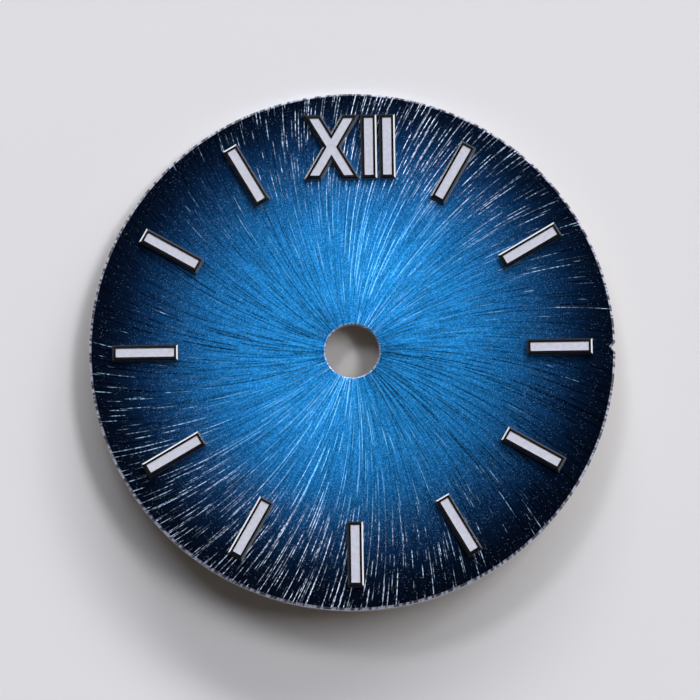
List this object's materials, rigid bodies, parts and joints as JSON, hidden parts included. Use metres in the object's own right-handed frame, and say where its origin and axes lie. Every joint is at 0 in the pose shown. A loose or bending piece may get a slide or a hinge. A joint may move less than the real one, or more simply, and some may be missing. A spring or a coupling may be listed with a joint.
{
  "type": "watch dial",
  "caption": "Round blue watch dial with a centre bore, applied baton hour markers, a Roman XII, luminous fills and feet on the back.",
  "frame": {"origin": "on the axis of the centre bore, in the back face that seats on the movement", "axes": "+Z out of the face towards the viewer, +Y to 12 o'clock, +X to 3 o'clock"},
  "size_m": [0.0285, 0.0284, 0.0033],
  "materials": {
    "dial_face": "radial brushed brass under blue lacquer that shades to black at the rim",
    "marker_metal": "rhodium plated and polished",
    "lume": "matte off-white luminous compound",
    "foot_metal": "bare drawn copper alloy"
  },
  "bodies": {
    "root": {"dial_plate": "dial_face", "dial_foot_1": "foot_metal", "dial_foot_2": "foot_metal", "baton_01_frame": "marker_metal", "baton_01_lume": "lume", "baton_02_frame": "marker_metal", "baton_02_lume": "lume", "baton_03_frame": "marker_metal", "baton_03_lume": "lume", "baton_04_frame": "marker_metal", "baton_04_lume": "lume", "baton_05_frame": "marker_metal", "baton_05_lume": "lume", "baton_06_frame": "marker_metal", "baton_06_lume": "lume", "baton_07_frame": "marker_metal", "baton_07_lume": "lume", "baton_08_frame": "marker_metal", "baton_08_lume": "lume", "baton_09_frame": "marker_metal", "baton_09_lume": "lume", "baton_10_frame": "marker_metal", "baton_10_lume": "lume", "baton_11_frame": "marker_metal", "baton_11_lume": "lume", "numeral_x_frame": "marker_metal", "numeral_x_lume": "lume", "numeral_i_left_frame": "marker_metal", "numeral_i_left_lume": "lume", "numeral_i_right_frame": "marker_metal", "numeral_i_right_lume": "lume"}
  },
  "joints": []
}
